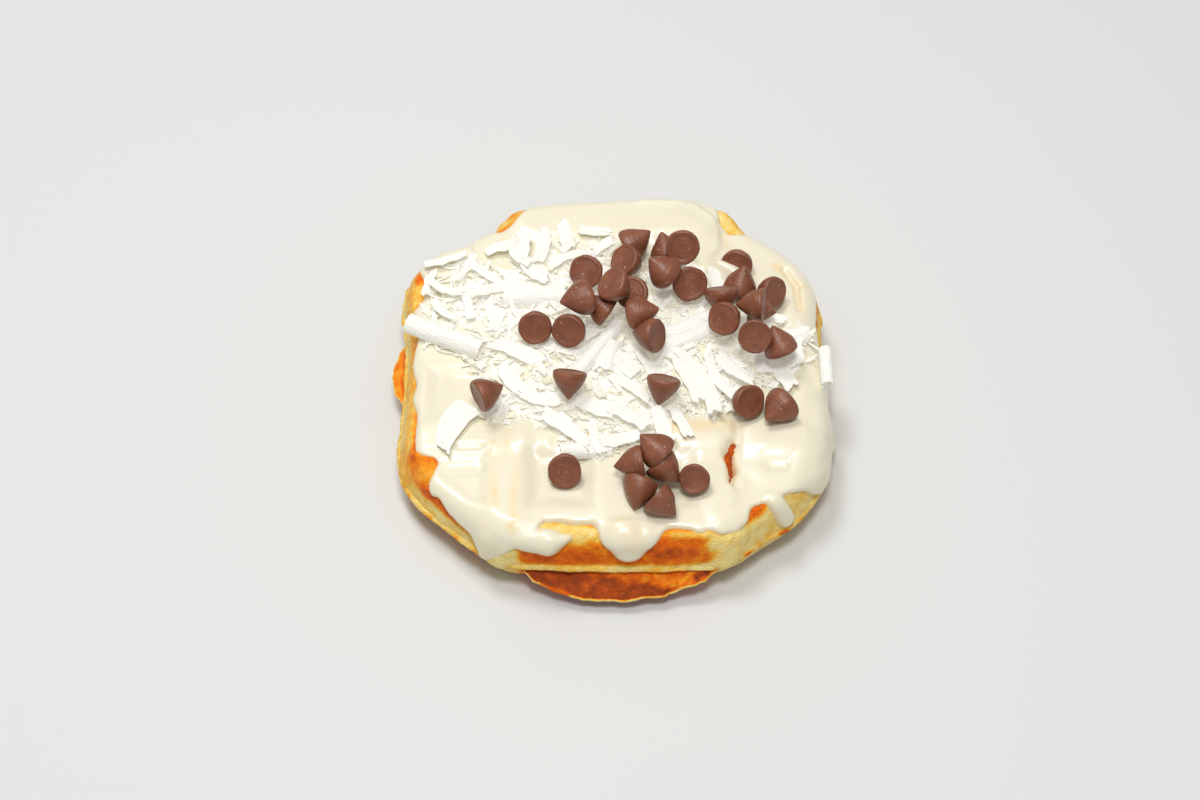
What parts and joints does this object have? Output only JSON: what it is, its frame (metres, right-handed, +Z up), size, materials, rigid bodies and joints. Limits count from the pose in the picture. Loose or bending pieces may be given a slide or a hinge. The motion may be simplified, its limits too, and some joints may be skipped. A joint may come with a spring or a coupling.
{
  "type": "topped waffle",
  "caption": "Thick square waffle with rounded corners, covered with a glossy white sauce, a heap of white curls and shavings, and loose brown drop-shaped chips.",
  "frame": {"origin": "centre of the bounding box on the plane the waffle lies on", "axes": "+Z up out of the topped face, +Y away from the front edge with the long thin lip, +X to the right seen from the front"},
  "size_m": [0.1256, 0.1292, 0.0435],
  "materials": {
    "waffle": "dry baked crust, golden brown",
    "white_sauce": "glossy ivory sauce",
    "white_shavings": "dull waxy white",
    "chip": "satin brown"
  },
  "bodies": {
    "root": {"waffle": "waffle", "white_sauce": "white_sauce", "white_shavings": "white_shavings", "chip_01": "chip", "chip_02": "chip", "chip_03": "chip", "chip_04": "chip", "chip_05": "chip", "chip_06": "chip", "chip_07": "chip", "chip_08": "chip", "chip_09": "chip", "chip_10": "chip", "chip_11": "chip", "chip_12": "chip", "chip_13": "chip", "chip_14": "chip", "chip_15": "chip", "chip_16": "chip", "chip_17": "chip", "chip_18": "chip", "chip_19": "chip", "chip_20": "chip", "chip_21": "chip", "chip_22": "chip", "chip_23": "chip", "chip_24": "chip", "chip_25": "chip", "chip_26": "chip", "chip_27": "chip", "chip_28": "chip", "chip_29": "chip", "chip_30": "chip", "chip_31": "chip", "chip_32": "chip", "chip_33": "chip", "chip_34": "chip", "chip_35": "chip", "chip_36": "chip"}
  },
  "joints": []
}
